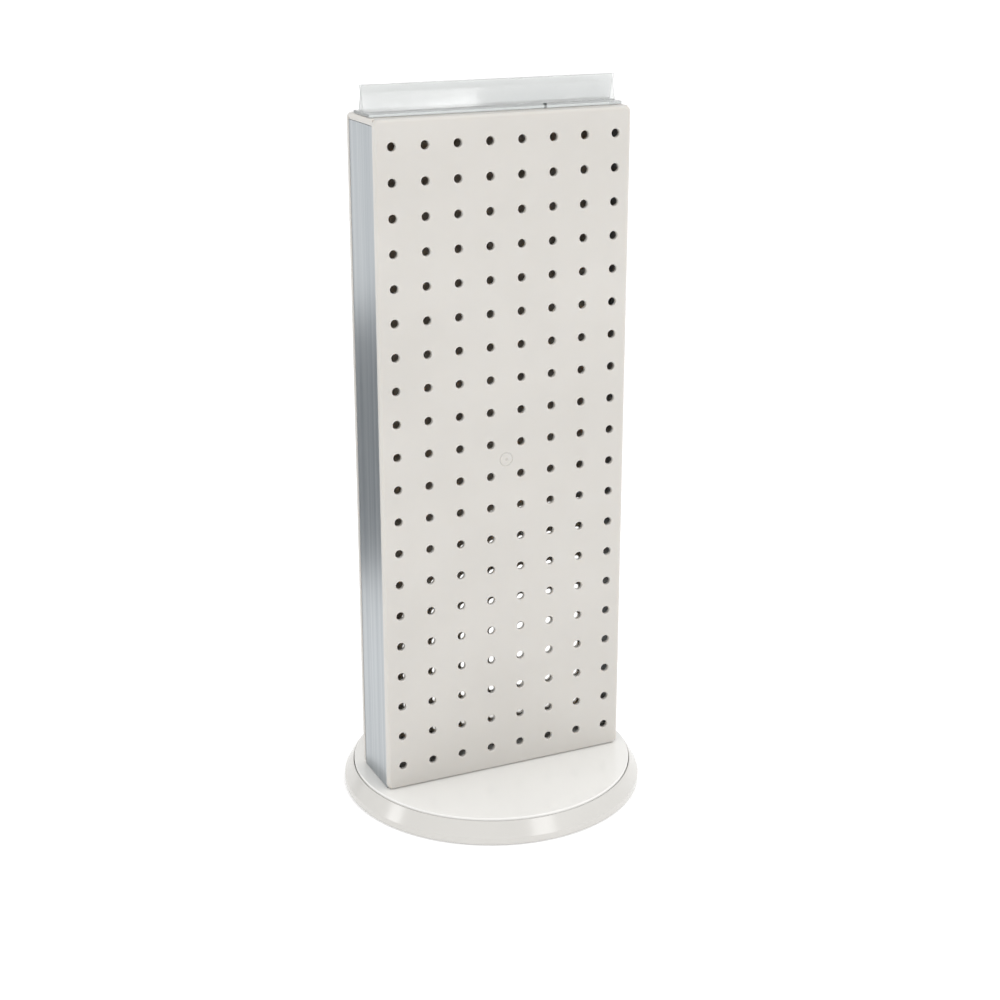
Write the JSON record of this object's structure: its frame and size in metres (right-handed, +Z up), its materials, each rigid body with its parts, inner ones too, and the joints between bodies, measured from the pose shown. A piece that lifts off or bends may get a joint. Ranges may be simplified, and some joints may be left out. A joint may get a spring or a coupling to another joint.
{
  "type": "pegboard display stand",
  "caption": "Double-sided countertop pegboard display with a clear sign holder along the top, turning on a low round base.",
  "frame": {"origin": "on the table, under the centre of the round base", "axes": "+Z up along the turning axis, the front pegboard panel faces -Y, +X along the panel's width"},
  "size_m": [0.241, 0.241, 0.5618],
  "materials": {
    "panel_plastic": "warm white moulded styrene, satin",
    "base_plastic": "white moulded styrene, glossier than the panels",
    "tray_plastic": "white moulded styrene, a shade greyer than the turntable plate",
    "channel_aluminium": "satin extrusion, drawn lengthwise",
    "clear_plastic": "clear extruded plastic with a faint blue-green tint",
    "rivet_nylon": "dark grey nylon",
    "bearing_steel": "zinc-plated pressed steel",
    "screw_steel": "zinc-plated",
    "foot_rubber": "matt black rubber"
  },
  "bodies": {
    "base": {"base_tray": "tray_plastic", "bearing_lower_race": "bearing_steel", "lower_bearing_screw_1": "screw_steel", "lower_bearing_screw_2": "screw_steel", "lower_bearing_screw_3": "screw_steel", "lower_bearing_screw_4": "screw_steel", "rubber_foot_1": "foot_rubber", "rubber_foot_2": "foot_rubber", "rubber_foot_3": "foot_rubber", "rubber_foot_4": "foot_rubber"},
    "ball_cage": {"bearing_ball_cage": "bearing_steel"},
    "spinner": {"turntable_plate": "base_plastic", "bearing_upper_race": "bearing_steel", "upper_bearing_screw_1": "screw_steel", "upper_bearing_screw_2": "screw_steel", "upper_bearing_screw_3": "screw_steel", "upper_bearing_screw_4": "screw_steel", "bracket_screw_1": "screw_steel", "bracket_screw_2": "screw_steel", "bracket_screw_3": "screw_steel", "bracket_screw_4": "screw_steel", "mounting_bracket": "base_plastic", "front_panel": "panel_plastic", "back_panel": "panel_plastic", "left_channel": "channel_aluminium", "right_channel": "channel_aluminium", "top_cap": "panel_plastic", "sign_holder": "clear_plastic", "sign_holder_rivet": "rivet_nylon"}
  },
  "joints": [
    {"name": "turntable_spin", "type": "hinge", "parent": "base", "child": "spinner", "pos_m": [0, 0, 0.00718], "axis": [0, 0, 1], "continuous": true},
    {"name": "cage_spin", "type": "hinge", "parent": "base", "child": "ball_cage", "pos_m": [0, 0, 0.00718], "axis": [0, 0, 1], "continuous": true}
  ],
  "couplings": [
    {"joint": "cage_spin", "follows": "turntable_spin", "ratio": 0.5}
  ]
}
